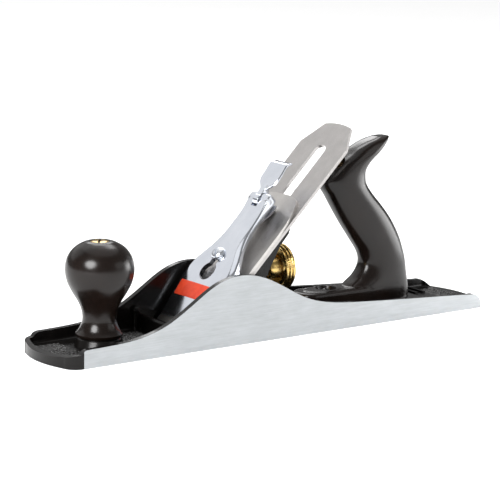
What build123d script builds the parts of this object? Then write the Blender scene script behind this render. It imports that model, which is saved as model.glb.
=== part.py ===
from build123d import *
import os
from math import sqrt

os.makedirs("parts", exist_ok=True)

# All sizes are in millimetres.
# +X runs from the toe to the heel, +Z is up and the sole lies on z = 0.

# Body casting
length = 355.0
width = 63.5
toe_shoulder_x = -165.2
heel_shoulder_x = 169.7
wing_wall = 4.0
end_wall = 3.2
floor_z = 4.5
toe_lip_z = 6.2
heel_lip_z = 4.6
mouth_front_x = -77.4
mouth_half_width = 26.6
seat_z = 9.0
tote_seat_z = 8.5

# Bed that carries the irons: 45 degrees, through this point on the sole
bed_x = -71.16
half_root = sqrt(0.5)

# Knob and tote
knob_x = -132.0
knob_foot_z = 11.0
knob_top_z = 74.4
tote_half = 11.4
tote_bolt_foot = (107.0, 8.5)
tote_bolt_head = (60.0, 110.4)
toe_screw_x = 53.5
toe_screw_z = 20.0

# Irons, measured along the bed (s) and off the bed (n)
iron_half = 25.4
iron_thick = 2.1
iron_edge_s = -1.8
iron_top_s = 190.5
iron_slot_half = 5.6
iron_slot_top_s = 171.4
cap_top_s = 125.5
cap_face_n = 4.25

# Stations along the bed
cap_screw_s = 62.5
yoke_tip_s = 74.6
chip_screw_s = 86.0
disc_s = 101.0
lateral_pivot_s = 111.5
cam_s = 110.0
cam_n = 16.0

# Depth adjuster
nut_z = 41.5
yoke_x = -9.0
yoke_z = 54.0
stud_r = 3.15

# Frog fixing
frog_screw_x = -46.0
frog_screw_y = 14.0
frog_base_z = 9.05
frog_base_top = 14.0
frog_back_x = -14.0
clip_screw_z = 17.0

bed = Location(Plane(origin=(bed_x, 0, 0), x_dir=(half_root, 0, half_root),
                     z_dir=(-half_root, 0, half_root)))


def save(name, shape):
    solids = shape.solids()
    whole = solids[0] if len(solids) == 1 else Compound(children=list(solids))
    export_step(whole, "parts/" + name + ".step")


def side_slab(outline, y_low, y_high):
    """Extrude an outline drawn in x and z from one y to another."""
    sheet = Pos(0, y_high, 0) * (Plane.XZ * outline)
    return extrude(sheet, y_high - y_low)


def flat_slab(outline, z_low, z_high):
    """Extrude an outline drawn in x and y from one z to another."""
    return Pos(0, 0, z_low) * extrude(outline, z_high - z_low)


def polygon(*points):
    return make_face(Polyline(*points, close=True))


def rod(radius, start, end):
    """Cylinder between two points."""
    start = Vector(*start)
    along = Vector(*end) - start
    across = Plane(origin=start, z_dir=along)
    return extrude(across * Circle(radius), along.length)


def lathe(points, at, axis):
    """Turn a closed outline of (radius, height) points about an axis through a point."""
    outline = Plane.XZ * polygon(*points)
    turned = revolve(outline, Axis.Z)
    return Location(Plane(origin=at, z_dir=axis)) * turned


def slot_face(half, x_low, x_high):
    """Round-ended slot; the ends are the slot's extreme points."""
    middle = (x_low + x_high) / 2
    return Pos(middle, 0) * SlotOverall(x_high - x_low, 2 * half)


def mirror_points(upper):
    """Close an outline that is the same on both sides of y = 0."""
    return upper + [(x, -y) for x, y in reversed(upper)]


def screw_slot(x, y, z, size, wide, deep):
    """Cutter for a driver slot that runs along y at the top of a vertical screw."""
    return Pos(x, y, z - deep / 2) * Box(wide, size, deep)


# Body casting
toe_round_x = -173.4
toe_round_y = 23.5
toe_near_round = ThreePointArc((toe_shoulder_x, -width / 2), (-170.6, -29.2),
                               (toe_round_x, -toe_round_y))
toe_arc = ThreePointArc((toe_round_x, -toe_round_y), (-length / 2, 0), (toe_round_x, toe_round_y))
toe_far_round = ThreePointArc((toe_round_x, toe_round_y), (-170.6, 29.2),
                              (toe_shoulder_x, width / 2))
heel_arc = ThreePointArc((heel_shoulder_x, width / 2), (length / 2, 0),
                         (heel_shoulder_x, -width / 2))
far_side = Line((toe_shoulder_x, width / 2), (heel_shoulder_x, width / 2))
near_side = Line((heel_shoulder_x, -width / 2), (toe_shoulder_x, -width / 2))
sole_plan = make_face([toe_near_round, toe_arc, toe_far_round, far_side, heel_arc, near_side])

inner_half = width / 2 - wing_wall
toe_inner_x = toe_shoulder_x - 3.3
toe_inner = ThreePointArc((toe_inner_x, -inner_half), (-length / 2 + end_wall, 0),
                          (toe_inner_x, inner_half))
heel_inner = ThreePointArc((heel_shoulder_x - 3, inner_half), (length / 2 - end_wall, 0),
                           (heel_shoulder_x - 3, -inner_half))
far_inner = Line((toe_inner_x, inner_half), (heel_shoulder_x - 3, inner_half))
near_inner = Line((heel_shoulder_x - 3, -inner_half), (toe_inner_x, -inner_half))
channel_plan = make_face([toe_inner, far_inner, heel_inner, near_inner])
channel_plan = fillet(channel_plan.vertices(), 4.5)

wing_curve = Spline((-160, 12.2), (-148, 12.5), (-125, 13.9), (-105, 18.6), (-75, 35.1),
                    (-58, 44.1), (-45, 46.8), (-30, 45.5), (-8, 36.3), (15, 24.6),
                    (32, 20.2), (60, 17.2), (110, 13.8), (160, 10.5))
toe_edge = Polyline((-180, 0), (-180, toe_lip_z), (-177, toe_lip_z), (-174, 7.5), (-169.5, 8.9),
                    (-165.2, 9.3))
toe_drop = ThreePointArc((-165.2, 9.3), (-163.4, 11.2), (-160, 12.2))
heel_drop = ThreePointArc((160, 10.5), (166.4, 8.8), (169.3, heel_lip_z))
heel_edge = Polyline((169.3, heel_lip_z), (180, heel_lip_z), (180, 0), (-180, 0))
side_view = make_face([toe_edge, toe_drop, wing_curve, heel_drop, heel_edge])

body = flat_slab(sole_plan, 0, 60) & side_slab(side_view, -width / 2, width / 2)
channel = flat_slab(channel_plan, floor_z, 60)
channel = fillet(channel.faces().sort_by(Axis.Z)[0].edges(), 2)
body -= channel

knob_boss = lathe([(0, floor_z - 1), (16.5, floor_z - 1), (16.2, floor_z + 1),
                   (14.6, knob_foot_z - 0.8), (14.0, knob_foot_z), (0, knob_foot_z)],
                  (knob_x, 0, 0), (0, 0, 1))
body += knob_boss

cross_rib = side_slab(polygon((-86.0, 4), (-81.0, 4), (-81.9, 13.6), (-82.6, 15), (-84.4, 15),
                              (-85.1, 13.6)), -inner_half - 1, inner_half + 1)
body += cross_rib
for side in (-1, 1):
    post_y = side * (inner_half - 1.6)
    body += rod(1.9, (-86.6, post_y, 4), (-86.6, post_y, 17.5))
    body += Pos(-86.6, post_y, 17.9) * Sphere(2.7)

front_seat = side_slab(polygon((-66.5, 4), (-61.2, seat_z), (-52, seat_z), (-51, 4)),
                       -inner_half - 1, inner_half + 1)
rear_seat = Pos(-30.5, 0, (4 + seat_z) / 2) * Box(37, 2 * inner_half + 1, seat_z - 4)
screw_lands = [Pos(frog_screw_x, side * frog_screw_y, (4 + seat_z) / 2)
               * Box(14, 15, seat_z - 4) for side in (-1, 1)]
frog_lug = side_slab(polygon((-5.5, 4), (3.5, 4), (0.6, 16), (0.6, 22.5), (-2.8, 22.5),
                             (-2.8, 16)), -8, 8)
body += front_seat + rear_seat + frog_lug
for land in screw_lands:
    body += land

tote_seat = flat_slab(polygon(*mirror_points([(24, 2), (26.5, 8), (33, 12.5), (60, 13.3),
                                              (128, 12.8), (131.5, 9)])), 4, tote_seat_z)
body += tote_seat
for side in (-1, 1):
    for rib_x in (139, 146, 153):
        body += Pos(rib_x, side * 19.5, 4.9) * Box(2.2, 16.6, 1.8)

mouth = side_slab(polygon((mouth_front_x, -1), (mouth_front_x - 0.4, 1.5),
                          (mouth_front_x - 3, 12), (-58, 12.5), (-70.75, -1)),
                  -mouth_half_width, mouth_half_width)
body -= mouth
body -= rod(2.8, (knob_x, 0, 2.6), (knob_x, 0, 12))
body -= rod(2.7, (toe_screw_x, 0, 2.4), (toe_screw_x, 0, 12))
for side in (-1, 1):
    body -= rod(2.75, (frog_screw_x, side * frog_screw_y, 1.6),
                (frog_screw_x, side * frog_screw_y, 12))
body -= rod(2.3, (-8, 0, clip_screw_z), (6, 0, clip_screw_z))

bolt_foot = Vector(tote_bolt_foot[0], 0, tote_bolt_foot[1])
bolt_head = Vector(tote_bolt_head[0], 0, tote_bolt_head[1])
bolt_way = (bolt_head - bolt_foot).normalized()
body -= rod(2.8, tuple(bolt_foot - bolt_way * 6), tuple(bolt_foot + bolt_way * 6))
save("body", body)

# Front knob with its bolt and barrel nut
knob_curve = Spline((15.6, 13.6), (13.1, 17.0), (11.3, 22.3), (11.8, 28.6), (14.2, 34.6),
                    (18.0, 41), (21.3, 48), (22.7, 56), (21.1, 63.6), (16.8, 69.6),
                    (11.2, 73.1), (8.2, knob_top_z - 0.3))
knob_rest = Polyline((8.2, knob_top_z - 0.3), (6.6, knob_top_z), (0, knob_top_z),
                     (0, knob_foot_z), (13.4, knob_foot_z), (15.2, 12.0), (15.6, 13.6))
knob = revolve(Plane.XZ * make_face([knob_curve, knob_rest]), Axis.Z)
knob = Pos(knob_x, 0, 0) * knob
knob -= rod(2.9, (knob_x, 0, 5), (knob_x, 0, 60))
knob -= rod(4.3, (knob_x, 0, 55), (knob_x, 0, 80))
knob -= rod(6.4, (knob_x, 0, 72.2), (knob_x, 0, 80))
save("knob", knob)
save("knob_bolt", rod(2.6, (knob_x, 0, 2.8), (knob_x, 0, 69)))

knob_nut = lathe([(2.75, 57), (4.1, 57), (4.1, 72.3), (6.2, 72.3), (6.2, 73.5), (5.4, 74.0),
                  (2.75, 74.3)], (knob_x, 0, 0), (0, 0, 1))
knob_nut += rod(2.9, (knob_x, 0, 70), (knob_x, 0, 74.2))
knob_nut -= screw_slot(knob_x, 0, 74.5, 14, 1.6, 1.9)
save("knob_nut", knob_nut)

# Tote with its bolt, barrel nut and toe screw
grip_levels = [
    (8.5, 62, 124.6, 11.4, 6), (16, 66, 124.4, 11.4, 7), (22, 71, 123.8, 11.3, 8),
    (28, 79, 122.9, 11.2, 9), (36, 83.8, 121.4, 11, 9), (44, 82.2, 119, 11, 9),
    (54, 75, 115, 11, 9), (66, 66, 107.8, 11, 9), (76, 59.2, 99.6, 11, 9),
    (86, 52.8, 90.1, 11, 9), (93, 48.2, 84.9, 11, 9), (98.5, 47.6, 83.3, 11, 8.5),
    (104, 53, 83.6, 11, 8.2), (110, 61, 88.2, 10.8, 8), (115, 69.5, 94.6, 10.2, 7),
    (119.4, 76.8, 99.2, 9.2, 6), (123, 85, 102.2, 7.6, 4.8), (125.8, 93.8, 104.2, 5.6, 3),
]
sections = []
for z, front, back, half, corner in grip_levels:
    shape = RectangleRounded(back - front, 2 * half, min(corner, half - 0.4,
                                                          (back - front) / 2 - 0.4))
    sections.append(Pos((front + back) / 2, 0, z) * shape)
tote = loft(sections)
toe_plan = make_face([ThreePointArc((38, -tote_half), (27.6, 0), (38, tote_half)),
                      Polyline((38, tote_half), (100, tote_half), (100, -tote_half),
                               (38, -tote_half))])
toe_top = toe_screw_z + 1.2
toe_block = flat_slab(toe_plan, 8.5, toe_top)
toe_block = fillet(toe_block.edges().filter_by(lambda e: e.center().Z > toe_top - 0.01
                                               and e.center().X < 90), 1.6)
toe_block &= side_slab(polygon((20, 8), (20, 30), (74, 30), (84, 8)), -20, 20)
tote += toe_block
tote -= rod(2.9, tuple(bolt_foot - bolt_way * 6), tuple(bolt_head + bolt_way * 20))
tote -= rod(4.3, tuple(bolt_head - bolt_way * 18), tuple(bolt_head + bolt_way * 20))
tote -= rod(6.4, tuple(bolt_head - bolt_way * 3), tuple(bolt_head + bolt_way * 20))
tote -= rod(2.7, (toe_screw_x, 0, 8), (toe_screw_x, 0, 30))
tote -= rod(5.9, (toe_screw_x, 0, toe_screw_z - 3.2), (toe_screw_x, 0, 30))
save("tote", tote)
save("tote_bolt", rod(2.6, tuple(bolt_foot - bolt_way * 5.4), tuple(bolt_head - bolt_way * 6)))

tote_nut = lathe([(2.75, -17.5), (4.1, -17.5), (4.1, -2.9), (6.2, -2.9), (6.2, -1.4),
                  (5.4, -0.6), (0, -0.2), (0, -5), (2.75, -5)], tuple(bolt_head), tuple(bolt_way))
nut_head = Location(Plane(origin=bolt_head, x_dir=(0, 1, 0), z_dir=bolt_way))
tote_nut -= nut_head * screw_slot(0, 0, 0, 14, 1.6, 1.9)
save("tote_nut", tote_nut)

toe_screw = rod(2.5, (toe_screw_x, 0, 2.8), (toe_screw_x, 0, toe_screw_z - 3))
toe_screw += lathe([(0, -3.1), (5.6, -3.1), (5.6, -1.6), (4.6, 0.1), (2.4, 0.9), (0, 1.1)],
                   (toe_screw_x, 0, toe_screw_z), (0, 0, 1))
toe_screw -= Pos(toe_screw_x, 0, toe_screw_z + 0.6) * Box(14, 1.5, 2.6)
save("tote_toe_screw", toe_screw)

# Frog: sloped plate, side ribs, centre block, base and the yoke's ears
plate_view = polygon((12.8, 0), (118, 0), (118, -1.4), (90, -2.7), (72, -5), (17.8, -5))
plate_face = polygon(*mirror_points([(10, 25), (101, 25), (104.5, 21.5), (107, 12), (113, 9),
                                     (118, 7)]))
plate = side_slab(plate_view, -25, 25) & flat_slab(plate_face, -10, 5)
block_face = polygon(*mirror_points([(58, 12), (98, 12), (104, 9), (115, 8.6), (117.5, 6)]))
block = flat_slab(block_face, -6, -0.02)
frog = bed * (plate + block)
side_rib = polygon((bed_x + 9.05, frog_base_z), (2.1, 73.2), (2.5, 71.9), (-5.6, 61.7),
                   (-16.8, 41.9), (-21, 32), (-20.5, 22), (frog_back_x, 13),
                   (frog_back_x, frog_base_z))
frog += side_slab(side_rib, 20.6, 25) + side_slab(side_rib, -25, -20.6)
base_view = polygon((bed_x + frog_base_z, frog_base_z), (bed_x + frog_base_top, frog_base_top),
                    (frog_back_x, frog_base_top), (frog_back_x, frog_base_z))
frog += side_slab(base_view, -25, 25)
web_view = polygon((-50, 12), (-38, 28), (-24, 45), (-14, 30), (-15.5, 12))
frog += side_slab(web_view, -3.5, 3.5)
frog += rod(6.6, (-22.4, 0, nut_z), (-12, 0, nut_z))
frog += side_slab(polygon((frog_back_x - 6, 10), (frog_back_x - 6, 24), (frog_back_x, 24),
                          (frog_back_x, 10)), -9, 9)
yoke_pin = bed.inverse() * Pos(yoke_x, 0, yoke_z)
pin_s = yoke_pin.position.X
pin_n = yoke_pin.position.Z
ear = polygon((pin_s - 7, -4), (pin_s + 7, -4), (pin_s + 3.4, pin_n - 1.6),
              (pin_s + 1.4, pin_n - 3.6), (pin_s - 1.4, pin_n - 3.6), (pin_s - 3.4, pin_n - 1.6))
frog += bed * (side_slab(ear, 8.2, 11.4) + side_slab(ear, -11.4, -8.2))

window = flat_slab(slot_face(6, 69.4, 92), -30, 2) + Pos(86.4, 0, -14) * Box(18.6, 17.2, 32)
lever_bay = Pos(107.6, 0, 0) * Box(26, 19.4, 5)
frog -= bed * window
frog -= bed * lever_bay
frog -= bed * Pos(cap_screw_s, 0, -3) * Cylinder(3.3, 8.2)
frog -= bed * Pos(lateral_pivot_s, 0, -3) * Cylinder(2.1, 12)
frog -= bed * Pos(lateral_pivot_s, 0, -5.6) * Cylinder(3.6, 1.6)
frog -= rod(1.6, (yoke_x, -12, yoke_z), (yoke_x, 12, yoke_z))
frog -= rod(stud_r + 0.05, (-17.2, 0, nut_z), (-10, 0, nut_z))
for side in (-1, 1):
    frog -= flat_slab(Pos(frog_screw_x, side * frog_screw_y) * SlotOverall(10.6, 6.4), 5, 40)
    frog -= flat_slab(Pos(frog_screw_x, side * frog_screw_y) * SlotOverall(16.4, 12.8),
                      frog_base_top, 60)
    frog -= rod(1.6, (frog_back_x - 5, side * 5.5, 20.5), (frog_back_x + 1, side * 5.5, 20.5))
frog -= rod(4.6, (frog_back_x - 5, 0, clip_screw_z), (frog_back_x + 1, 0, clip_screw_z))
save("frog", frog)

washers = []
screws = []
for side in (-1, 1):
    ring = lathe([(3.0, 0), (5.8, 0), (5.8, 1.1), (3.0, 1.1)],
                 (frog_screw_x, side * frog_screw_y, frog_base_top + 0.05), (0, 0, 1))
    washers.append(ring)
    head_z = frog_base_top + 1.2
    screw = rod(2.6, (frog_screw_x, side * frog_screw_y, 2), (frog_screw_x, side * frog_screw_y,
                                                              head_z + 1))
    screw += lathe([(0, 0), (4.9, 0), (4.9, 2.2), (3.8, 3.1), (0, 3.2)],
                   (frog_screw_x, side * frog_screw_y, head_z), (0, 0, 1))
    screw -= screw_slot(frog_screw_x, side * frog_screw_y, head_z + 3.3, 12, 1.3, 1.4)
    screws.append(screw)
save("frog_washers", Compound(children=washers))
save("frog_screws", Compound(children=screws))

# Frog adjusting screw, its clip and the clip's screws
adjusting_screw = lathe([(0, -13.6 - 3.2), (3.6, -13.6 - 3.2), (3.6, -14.6), (2.0, -14.6),
                         (2.0, -11.4), (3.6, -11.4), (3.6, -10.2), (2.2, -10.2), (2.2, 6),
                         (4.2, 6), (4.2, 10), (3.6, 10.6), (0, 10.6)],
                        (0, 0, clip_screw_z), (1, 0, 0))
adjusting_screw -= Pos(10.4, 0, clip_screw_z) * Box(2.6, 1.2, 12)
save("frog_adjusting_screw", adjusting_screw)
clip_plate = Pos(frog_back_x + 0.8, 0, 18.6) * Box(1.5, 17, 8.8)
clip_plate -= Pos(frog_back_x + 0.8, 0, 15.4) * Box(3, 4.5, 8)
clip_plate -= rod(2.25, (-20, 0, clip_screw_z), (-5, 0, clip_screw_z))
for side in (-1, 1):
    clip_plate -= rod(1.6, (-20, side * 5.5, 20.5), (-5, side * 5.5, 20.5))
save("frog_adjusting_clip", clip_plate)
clip_screws = [rod(1.45, (frog_back_x - 4.6, side * 5.5, 20.5), (frog_back_x + 2, side * 5.5, 20.5))
               + rod(2.5, (frog_back_x + 1.6, side * 5.5, 20.5), (frog_back_x + 3, side * 5.5, 20.5))
               for side in (-1, 1)]
save("frog_clip_screws", Compound(children=clip_screws))

# Cutting iron with its bevel, slot and lower hole
bevel = iron_thick / 0.4663
iron_view = polygon((iron_edge_s, iron_thick), (iron_edge_s + bevel, 0), (iron_top_s, 0),
                    (iron_top_s, iron_thick))
iron_top = ThreePointArc((iron_top_s - 1.6, 14), (iron_top_s, 0), (iron_top_s - 1.6, -14))
iron_face = make_face([iron_top, Polyline((iron_top_s - 1.6, -14), (171, -iron_half),
                                          (-5, -iron_half), (-5, iron_half), (171, iron_half),
                                          (iron_top_s - 1.6, 14))])
iron = side_slab(iron_view, -iron_half, iron_half) & flat_slab(iron_face, -1, 5)
iron -= flat_slab(slot_face(iron_slot_half, 44, iron_slot_top_s), -1, 5)
iron -= Pos(49, 0, 1) * Cylinder(9, 6)
save("cutting_iron", bed * iron)

# Cap iron with its hump, and the screw that holds it to the iron
hump_top = Spline((0.7, 2.15), (4, 5.4), (10, 6.8), (17, 5.6), (25, cap_face_n),
                  tangents=[(0.5, 1), (1, 0)])
hump_under = Spline((25, 2.15), (17, 3.5), (10, 4.7), (5, 3.5), (2.6, 2.15),
                    tangents=[(-1, 0), (-0.5, -1)])
cap_view = make_face([hump_top, Polyline((25, cap_face_n), (cap_top_s, cap_face_n),
                                         (cap_top_s, 2.15), (25, 2.15)),
                      hump_under, Line((2.6, 2.15), (0.7, 2.15))])
cap = side_slab(cap_view, -iron_half, iron_half)
cap_corner = [(0, iron_half), (94, iron_half), (105, 24.6), (114, 22.6), (119.5, 20.4),
              (122.8, 17.6), (124.6, 13.6), (cap_top_s, 8)]
cap &= flat_slab(polygon(*mirror_points(cap_corner)), -5, 15)
cap -= flat_slab(slot_face(7, 48, 69.6), -1, 10)
cap -= Pos(yoke_tip_s, 0, 3) * Box(5.2, 9.4, 8)
cap -= Pos(chip_screw_s, 0, 3) * Cylinder(3.05, 8)
save("cap_iron", bed * cap)

chip_screw = Pos(chip_screw_s, 0, 2.0) * Cylinder(2.95, 4.4)
chip_screw += lathe([(0, -2.35), (6.2, -2.35), (7, -1.7), (7, -0.1), (0, -0.1)],
                    (chip_screw_s, 0, 0), (0, 0, 1))
chip_screw -= Pos(chip_screw_s, 0, -2.3) * Box(1.5, 16, 1.8)
save("cap_iron_screw", bed * chip_screw)

# Lever cap: waisted outline, hollow underside, ears for the cam lever
cap_edge = Spline((100, 10.7), (84, 12.1), (72, 15.2), (60, 21.2), (52, 24.4), (44, 25.2),
                  tangents=[(-1, 0), (-1, 0.02)])
cap_edge_low = Spline((44, -25.2), (52, -24.4), (60, -21.2), (72, -15.2), (84, -12.1),
                      (100, -10.7), tangents=[(1, 0.02), (1, 0)])
cap_outline = make_face([cap_edge, Polyline((44, 25.2), (13, 25.2), (12, 24.2), (12, -24.2),
                                            (13, -25.2), (44, -25.2)), cap_edge_low,
                         Polyline((100, -10.7), (114, -10.6), (115.2, -9.4), (115.2, 9.4),
                                  (114, 10.6), (100, 10.7))])
crown = Spline((112, 19.3), (98, 16.7), (84, 16), (70, 15.9), (56, 15.4), (44, 14.6),
               tangents=[(-1, -0.08), (-1, -0.12)])
lever_view = make_face([crown, Polyline((44, 14.6), (12, 9.6), (12, 7.1), (16, 7.1)),
                        Spline((16, 7.1), (40, 6.4), (56, 8), (75, 10.6), (88, 11.3),
                               tangents=[(1, 0), (1, 0)]),
                        Polyline((88, 11.3), (114, 11.5), (115.2, 13), (115.2, 18.4),
                                 (112, 19.3))])
lever_cap = side_slab(lever_view, -26, 26) & flat_slab(cap_outline, 0, 30)
hollow_view = make_face([Spline((103, 13.6), (84, 12.8), (70, 12.6), (56, 12.1), (44, 11.4),
                                tangents=[(-1, -0.05), (-1, -0.12)]),
                         Polyline((44, 11.4), (20, 7.6), (20, 0), (103, 0), (103, 13.6))])
hollow_plan = make_face([Spline((104, 7.6), (84, 9), (72, 12), (60, 17.8), (52, 21), (44, 22),
                                tangents=[(-1, 0), (-1, 0.02)]),
                         Polyline((44, 22), (15, 22), (15, -22), (44, -22)),
                         Spline((44, -22), (52, -21), (60, -17.8), (72, -12), (84, -9),
                                (104, -7.6), tangents=[(1, 0.02), (1, 0)]),
                         Line((104, -7.6), (104, 7.6))])
lever_cap -= side_slab(hollow_view, -26, 26) & flat_slab(hollow_plan, 0, 30)
lever_cap -= Pos(111, 0, 12) * Box(14, 6.0, 24)
lever_cap -= flat_slab(slot_face(3.7, 46, cap_screw_s + 3.7), 5, 30)
lever_cap -= Pos(49, 0, 15) * Cylinder(7, 20)
lever_cap -= rod(1.9, (cam_s, -12, cam_n), (cam_s, 12, cam_n))
band_tilt = 8.88
band_at = Location((33, 0, 14.6 - 11 * 5 / 32), (0, -band_tilt, 0))
lever_cap -= band_at * Pos(0, 0, 0.2) * Box(12.1, 41.1, 0.9)
save("enamel_band", bed * (band_at * Pos(0, 0, 0.15) * Box(12, 41, 0.75)))

cap_screw = Pos(cap_screw_s, 0, 5.0) * Cylinder(3.2, 23)
cap_screw += lathe([(0, 16.1), (5.9, 16.1), (5.9, 17.6), (4.8, 18.8), (2.6, 19.4), (0, 19.5)],
                   (cap_screw_s, 0, 0), (0, 0, 1))
cap_screw -= Pos(cap_screw_s, 0, 19.1) * Box(1.4, 14, 2)
save("lever_cap_screw", bed * cap_screw)

# Cam lever, its pin, and the leaf spring under the lever cap
cam_lobe = Pos(cam_s + 0.8, cam_n - 2.9) * Circle(6.3) + Pos(cam_s, cam_n) * Circle(4.4)
neck = polygon((108.4, 13), (114.6, 12.6), (120.5, 18.6), (120.5, 21.4), (108, 19.6))
cam_lever = side_slab(cam_lobe, -2.75, 2.75) + side_slab(neck, -2.75, 2.75)
blade_view = polygon((117.4, 18.4), (119, 17.6), (128, 18.8), (137, 19.9), (141, 18.2),
                     (142.4, 18.6), (140, 21.6), (137.6, 22.3), (128, 21.2), (118, 20.4))
blade_plan = make_face([Spline((117.4, 2.8), (119.4, 4.6), (123, 7.8), (130, 9.2), (138, 9.6)),
                        Polyline((138, 9.6), (142.4, 9.2), (142.4, -9.2), (138, -9.6)),
                        Spline((138, -9.6), (130, -9.2), (123, -7.8), (119.4, -4.6),
                               (117.4, -2.8)),
                        Line((117.4, -2.8), (117.4, 2.8))])
cam_lever += side_slab(blade_view, -10, 10) & flat_slab(blade_plan, 10, 30)
cam_lever -= rod(1.95, (cam_s, -12, cam_n), (cam_s, 12, cam_n))
save("cam_lever", bed * cam_lever)
save("cam_pin", bed * rod(1.85, (cam_s, -10.5, cam_n), (cam_s, 10.5, cam_n)))

leaf = polygon((74, 11.6), (87, 11.8), (99, 7.6), (106, 5.6), (112, 5.5), (114, 6.4),
               (113.6, 7.1), (111.7, 6.3), (106.2, 6.4), (99.2, 8.5), (87.2, 12.7), (74, 12.5))
spring = side_slab(leaf, -6.4, 6.4)
spring -= Pos(80, 0, 12) * Cylinder(1.9, 6)
save("lever_cap_spring", bed * spring)
rivet = Pos(80, 0, 12.3) * Cylinder(1.8, 4.6) + Pos(80, 0, 10.9) * Cylinder(3.2, 1.2)
lever_rivet = rivet - Pos(80, 0, 15.4) * Box(10, 10, 4)
save("spring_rivet", bed * lever_rivet)
lever_cap -= Pos(80, 0, 12.4) * Cylinder(1.85, 4)
save("lever_cap", bed * lever_cap)

# Depth adjuster: stud, brass nut and the forked yoke with its pin
save("adjusting_stud", rod(stud_r, (-17, 0, nut_z), (17.4, 0, nut_z)))
nut = lathe([(stud_r + 0.1, -8.6), (7.5, -8.6), (7.5, -6.6), (4.6, -6.6), (4.6, 0.2),
             (7.8, 0.2), (8.6, 5), (8.8, 11.2), (12.6, 11.6), (13.2, 8.9), (14.3, 8.6),
             (14.8, 9.2), (14.8, 10.2), (14.4, 10.5), (14.4, 10.9), (15.6, 11.3), (15.6, 12.4),
             (15.1, 12.7), (15.1, 13.1), (16.1, 13.4), (16.1, 15), (15.4, 15.6), (12.6, 15.6),
             (12, 14.6), (6.4, 14.6), (6, 15.2), (stud_r + 0.1, 15.2)],
            (0, 0, nut_z), (1, 0, 0))
save("adjusting_nut", nut)

barrel = rod(2.5, (yoke_x, -7.9, yoke_z), (yoke_x, 7.9, yoke_z))
tongue_view = polygon((pin_s + 1, pin_n - 2.2), (pin_s + 1, pin_n + 1.9), (77.2, pin_n + 2.3),
                      (76.2, -1.5), (76.0, 3.7), (73.2, 3.7), (73.0, pin_n - 1.8),
                      (74.2, pin_n - 2.4))
yoke = barrel + bed * side_slab(tongue_view, -4.1, 4.1)
leg_view = polygon((yoke_x - 1.6, yoke_z - 1.8), (yoke_x + 1.6, yoke_z + 1.8), (-2.2, 48.8),
                   (-2.0, 38), (-4.4, 38), (-4.4, 48.2))
yoke += side_slab(leg_view, 4.95, 7.4) + side_slab(leg_view, -7.4, -4.95)
yoke -= rod(1.6, (yoke_x, -12, yoke_z), (yoke_x, 12, yoke_z))
save("adjusting_yoke", yoke)
save("yoke_pin", rod(1.5, (yoke_x, -11.3, yoke_z), (yoke_x, 11.3, yoke_z)))

# Lateral adjusting lever with its roller and pivot rivet
lever_plan = polygon(*mirror_points([(98, 3.0), (107, 4.3), (118, 4.3), (124, 3.4), (131, 3.4),
                                     (134, 8.5), (138.5, 8.5)]))
lever_side = polygon((97.6, -0.3), (118.5, -0.3), (123.9, -3.0), (134, -7.6), (139, -7.4),
                     (139, -9.3), (133.6, -9.5), (123.1, -4.8), (118.2, -2.2), (97.6, -2.2))
lateral = side_slab(lever_side, -9, 9) & flat_slab(lever_plan, -12, 2)
lateral += Pos(disc_s, 0, -1.25) * Cylinder(4.6, 1.9)
lateral -= Pos(disc_s, 0, -1.25) * Cylinder(1.6, 4)
lateral -= Pos(lateral_pivot_s, 0, -1.25) * Cylinder(2.1, 4)
save("lateral_lever", bed * lateral)
roller = Pos(disc_s, 0, 0.8) * Cylinder(5.2, 2.0) + Pos(disc_s, 0, -1.1) * Cylinder(1.5, 2.1)
save("lateral_roller", bed * roller)
pivot_rivet = Pos(lateral_pivot_s, 0, -3.3) * Cylinder(2.0, 6.1)
pivot_rivet += Pos(lateral_pivot_s, 0, -5.65) * Cylinder(3.5, 1.4)
save("lateral_pivot", bed * pivot_rivet)
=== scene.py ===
import math
import random

import bmesh
import bpy
from mathutils import Matrix, Vector


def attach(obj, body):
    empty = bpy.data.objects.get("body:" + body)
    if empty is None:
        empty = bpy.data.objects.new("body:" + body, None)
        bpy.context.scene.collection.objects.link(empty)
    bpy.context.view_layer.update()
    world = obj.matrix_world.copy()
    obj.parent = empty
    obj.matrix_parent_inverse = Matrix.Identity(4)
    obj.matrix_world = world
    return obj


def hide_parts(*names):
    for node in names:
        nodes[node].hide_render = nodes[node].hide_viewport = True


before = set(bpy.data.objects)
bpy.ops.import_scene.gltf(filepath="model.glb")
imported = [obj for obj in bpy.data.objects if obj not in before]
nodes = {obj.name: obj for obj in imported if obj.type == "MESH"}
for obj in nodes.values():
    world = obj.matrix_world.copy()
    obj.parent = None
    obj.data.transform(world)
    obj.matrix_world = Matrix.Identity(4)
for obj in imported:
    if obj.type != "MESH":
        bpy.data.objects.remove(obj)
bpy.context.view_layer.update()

MM = 0.001
HALF_ROOT = math.sqrt(0.5)
BED_X = -71.16            # where the 45 degree bed meets the sole
BED = Matrix(((HALF_ROOT, 0, -HALF_ROOT, BED_X),
              (0, 1, 0, 0),
              (HALF_ROOT, 0, HALF_ROOT, 0),
              (0, 0, 0, 1)))
UPRIGHT = Matrix.Identity(4)
GROUND_SIDE_Y = 0.0312    # metres: the sides further out than this are ground bare
ENAMEL_TOE_X = -0.1632    # metres: ahead of this the sides stay enamelled
FLOOR_Z = 4.42            # just below the channel floor, under the rough patches
FLOOR_GLOW = 0.42
WORLD_GLOW = 0.25
LENS = 161.91             # mm, on a 36 mm sensor
CAMERA_SPOT = (-0.8900, -1.2037, 0.3562)    # metres


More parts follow.
